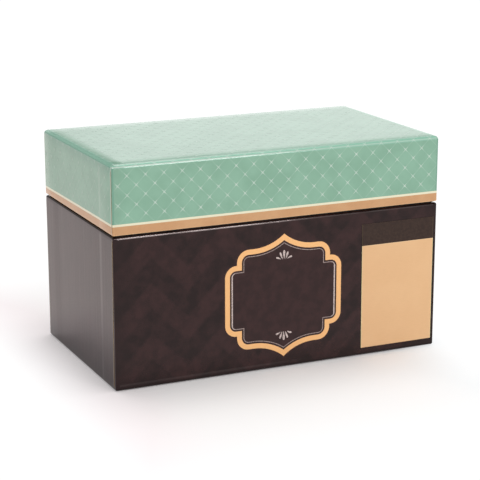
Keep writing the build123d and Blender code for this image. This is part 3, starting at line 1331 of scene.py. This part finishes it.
def star_stencil(pen, size):
    """A flat star with long rays on the diagonals and short rays between them."""
    circle = pen.node(
        "GeometryNodeMeshCircle", {"fill_type": "TRIANGLE_FAN"}, {"Vertices": 16, "Radius": 1.0}
    )
    place = pen.node("GeometryNodeInputPosition")
    step = pen.maths("MODULO", pen.node("GeometryNodeInputIndex"), 4)
    valley = pen.maths("MODULO", step, 2)
    short = 1 - step.at_most(1)
    ray = short * size["Short Ray"] + (1 - short) * size["Long Ray"]
    radius = valley * size["Waist"] + (1 - valley) * ray
    pulled = pen.node("ShaderNodeVectorMath", {"operation": "SCALE"}, {0: place, "Scale": radius})
    shaped = moved(pen, circle, Position=pulled)
    reach = pen.node("ShaderNodeVectorMath", {"operation": "LENGTH"}, {0: place}, "Value")
    in_middle = reach < 0.1
    back = moved(pen, shaped, Offset=vector(pen, Z=in_middle * size["Depth"] * -1))
    return closed(pen, shaped, back)


def folded(pen, edge, lift, u, v):
    """Where a place on the flat sheet lies once it is folded down over the edges."""
    parts, drops = [], []
    for value, fold_at in ((u, fold_x), (v, fold_y)):
        past = (value.size() - fold_at).at_least(0)
        angle = (past / edge).at_most(math.pi / 2)
        hang = (past - edge * (math.pi / 2)).at_least(0)
        radius = edge + lift
        out = value.size().at_most(fold_at) + radius * pen.maths("SINE", angle)
        parts.append((pen.maths("SIGN", value) * out, hang))
        drops.append(radius * (1 - pen.maths("COSINE", angle)) + hang)
    (x, hang_x), (y, _) = parts
    front_ridge, back_ridge = [
        from_side.ramp(flap_reach - slope / 2, flap_reach + slope / 2, 1.0, flap_drop)
        for from_side, slope in ((y + box_depth / 2, front_slope), (box_depth / 2 - y, back_slope))
    ]
    on_end = hang_x.ramp(0.0, 2.0)
    x = x + pen.maths("SIGN", x) * on_end * front_ridge.at_least(back_ridge) * flap_step
    return vector(pen, X=x, Y=y, Z=lid_high.z + lift - (drops[0] + drops[1]))


def nearest_shift(value, pitch):
    """The same place on the lattice, but within one pitch of the middle."""
    return value - pitch * round(value / pitch)


star_shift = nearest_shift(lattice_u, lattice_pitch), nearest_shift(lattice_v, lattice_pitch)
print("stars shifted by", [round(v, 2) for v in star_shift])

# %% [markdown]
# The grid reaches beyond the print, and every second row is shifted by half a pitch. A star is
# kept only where it fits on the mint, away from the folds, and where the sheet isn't notched.

# %% Grow the stars
not_past = 0.001


def outside_print(size, u, v):
    """Picks the places where a star would leave the mint or lie across a fold."""
    ray = size["Long Ray"]
    aside = ray / math.sqrt(2)
    past_x = (u.size() - fold_x).at_least(0)
    past_y = (v.size() - fold_y).at_least(0)
    lowest = edge_arc + mint_depth - edge_radius - ray
    inside_x = (box_length / 2 - u.size()) > ray
    inside_y = (box_depth / 2 - v.size()) > ray
    on_top = (u.size() < fold_x - aside) * (v.size() < fold_y - aside)
    on_long = inside_x * (past_x < not_past) * (past_y > edge_arc + aside) * (past_y < lowest)
    on_end = inside_y * (past_y < not_past) * (past_x > edge_arc + aside) * (past_x < lowest)
    return (on_top + on_long + on_end) < 0.5


def star_tree():
    """The tree that grows all the stars."""
    tree, pen, size = start_tree("stars", star_sizes)
    pitch = size["Pitch"]
    grid = pen.node(
        "GeometryNodeMeshGrid",
        None,
        {
            "Size X": pitch * (size["Columns"] - 1),
            "Size Y": pitch * (size["Rows"] - 1) * 0.5,
            "Vertices X": size["Columns"],
            "Vertices Y": size["Rows"],
        },
    )
    u, v, _ = pen.node("GeometryNodeInputPosition").parts()
    row = pen.maths("ROUND", v / (pitch * 0.5))
    stagger = pen.maths("FLOORED_MODULO", row, 2) * pitch * 0.5
    laid = moved(pen, grid, Offset=vector(pen, X=stagger + star_shift[0], Y=star_shift[1]))
    dropped = {"Geometry": laid, "Selection": outside_print(size, u, v)}
    kept = pen.node("GeometryNodeDeleteGeometry", {"domain": "POINT"}, dropped)
    planted = {"Points": kept, "Instance": star_stencil(pen, size)}
    stars = pen.node("GeometryNodeInstanceOnPoints", None, planted)
    flat = pen.node("GeometryNodeRealizeInstances", None, {"Geometry": stars})
    u, v, rise = pen.node("GeometryNodeInputPosition").parts()
    place = folded(pen, size["Edge"], size["Lift"] + rise, u, v)
    end_tree(pen, moved(pen, flat, Position=place), star_ink)
    return tree


stars = grow("lattice_stars", star_tree(), star_sizes)
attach(stars, "lid")
print("stars", len(stars.data.polygons), "faces")

# %% [markdown]
# The light is a plain white studio. A soft dome lights everything. A large box overhead, a little
# to the right and behind, throws the short shadow at the front left, and a small bright box in
# front draws the thin highlights along the folded edges. Point lamps would be simpler, but the
# gloss would mirror them as dots. A lamp's power follows from how bright its face looks.

# %% Light the studio
lamp_aim = Vector((0, 0, 60))
lamp_distance = 1500


def softbox(name, azimuth, elevation, width, height, brightness):
    """A rectangular lamp that faces the box. Its brightness is that of its face."""
    data = bpy.data.lights.new(name, "AREA")
    data.shape = "RECTANGLE"
    data.size = width * MM
    data.size_y = height * MM
    data.energy = brightness * math.pi * data.size * data.size_y
    lamp = bpy.data.objects.new(name, data)
    away = direction(math.radians(azimuth), math.radians(elevation))
    lamp.matrix_world = aimed(lamp_aim + away * lamp_distance, away)
    bpy.context.scene.collection.objects.link(lamp)
    return lamp


lamps = [
    softbox("front_box", azimuth=18.5, elevation=9, width=340, height=380, brightness=13.0),
    softbox("top_box", azimuth=113, elevation=82.6, width=1090, height=940, brightness=3.7),
]
print("lamps", [round(lamp.data.energy, 1) for lamp in lamps])

# %% [markdown]
# A glossy top is as pale as what it mirrors, so to mirror rays the dome has a shape: a bright
# sweep low behind the box, where the top looks, darker high up and in front, so that the dark
# front stays dark, and dimmer towards the left, where the top turns greener. Everything else is
# lit by the plain dome, and the camera sees white.

# %% Shape what the gloss mirrors
dome = 0.46
sweep_behind = (-0.2, 0.25, 0.2, 1.25)
sweep_above = (0.25, 0.38, 1.0, 0.25)
sweep_left = (-0.3, 0.0, 0.35, 1.0)
sweep_right = (0.29, 0.35, 0.81, 1.0)
world = bpy.data.worlds.new("studio")
bpy.context.scene.world = world
world.use_nodes = True
pen = Pen(world.node_tree)
rays = pen.node("ShaderNodeLightPath")
shine = rays.also("Is Glossy Ray").at_least(rays.also("Is Transmission Ray"))
right, behind, above = pen.node("ShaderNodeTexCoord").parts()
sweep = behind.ramp(*sweep_behind) * above.ramp(*sweep_above)
sweep = sweep * right.ramp(*sweep_left) * right.ramp(*sweep_right)
level = dome + shine * (sweep - dome)
background = world.node_tree.nodes["Background"]
wire(pen, background, "Color", (1, 1, 1, 1))
wire(pen, background, "Strength", level + rays.also("Is Camera Ray") * (1 - level))
print("dome", dome)

# %% [markdown]
# The floor is a pale sheet of paper, far larger than the view. It keeps the box's shadow, and away
# from the box it goes over to a glow of its own, so that it reaches a pure white. The glow starts
# further out for mirror rays, so that the ends of the box darken towards their feet. The paper is
# tinted a little rosy on the left and a little blue on the right, which paints the colour of the
# light in its shade there. For mirror rays its glow turns rosy at the left, a painted rosy
# reflection in the box's left end.

# %% Lay the floor
floor_drop = 0.02
floor_reach = 5.0
# The rosy and bluish tints paint the colour of the light in the floor's shade.
ROSY_SHADE = ink(254, 238, 241)
PAPER = ink(250, 246, 245)
BLUISH_SHADE = ink(242, 245, 248)
seen_aside, seen_ahead = (-14, 48), (25, 160)
mirrored_aside, mirrored_ahead = (6, 56), (-20, 60)
nearer_on_right = 22
far_left = (90, 140, 1.0, 0.5)
glow_strength = 1.05
plain_glow = (1, 1, 1, 1)
# The rosy glow paints a reflection into the box's left end.
rosy_glow = (1.1, 1.0, 0.98, 1)


def glow_share(x, y, mirror):
    """How far the floor has gone over to its glow. Mirror rays have edges of their own."""
    aside, ahead = x.size() - box_length / 2, y.size() - box_depth / 2
    seen = (aside + nearer_on_right * (x > 0)).ramp(*seen_aside)
    seen = seen.at_least(ahead.ramp(*seen_ahead))
    mirrored = aside.ramp(*mirrored_aside).at_least(ahead.ramp(*mirrored_ahead))
    mirrored = mirrored * (-1 * x - box_length / 2).ramp(*far_left)
    return seen + mirror * (mirrored - seen)


def floor_paper():
    """Pale paper that keeps a shadow near the box and glows away from it."""
    material, pen, shader = start_material("floor_paper")
    wire(pen, shader, "Roughness", 0.9)
    wire(pen, shader, "Emission Color", plain_glow)
    wire(pen, shader, "Emission Strength", 0.12)
    x, y, _ = place_of(pen).parts()
    # Painted shade colour: the floor is tinted rosy on the left and bluish on the right.
    tint = x.ramp(-130, -60).mix(ROSY_SHADE, PAPER)
    wire(pen, shader, "Base Color", x.ramp(40, 90).mix(tint, BLUISH_SHADE))
    mirror = pen.node("ShaderNodeLightPath").also("Is Glossy Ray")
    plain, rosy = (
        pen.node("ShaderNodeEmission", None, {"Color": colour, "Strength": glow_strength})
        for colour in (plain_glow, rosy_glow)
    )
    # Painted reflection: for mirror rays the glow is rosy at the left.
    at_left = mirror * x.fade(-110, -90)
    glow = pen.node("ShaderNodeMixShader", None, {0: at_left, 1: plain, 2: rosy})
    lit = Pen(pen.tree, shader.outputs[0])
    share = glow_share(x, y, mirror)
    mixed = pen.node("ShaderNodeMixShader", None, {0: share, 1: lit, 2: glow})
    wire(pen, pen.tree.nodes["Material Output"], "Surface", mixed)
    return material


mesh = bmesh.new()
bmesh.ops.create_grid(mesh, x_segments=1, y_segments=1, size=floor_reach)
for vert in mesh.verts:
    vert.co.z = -floor_drop * MM
floor = settle("floor", mesh, [floor_paper()])
print("floor", 2 * floor_reach, "m across")

# %% [markdown]
# Colours are shown as they are.

# %% Finish
bpy.context.scene.view_settings.view_transform = "Standard"
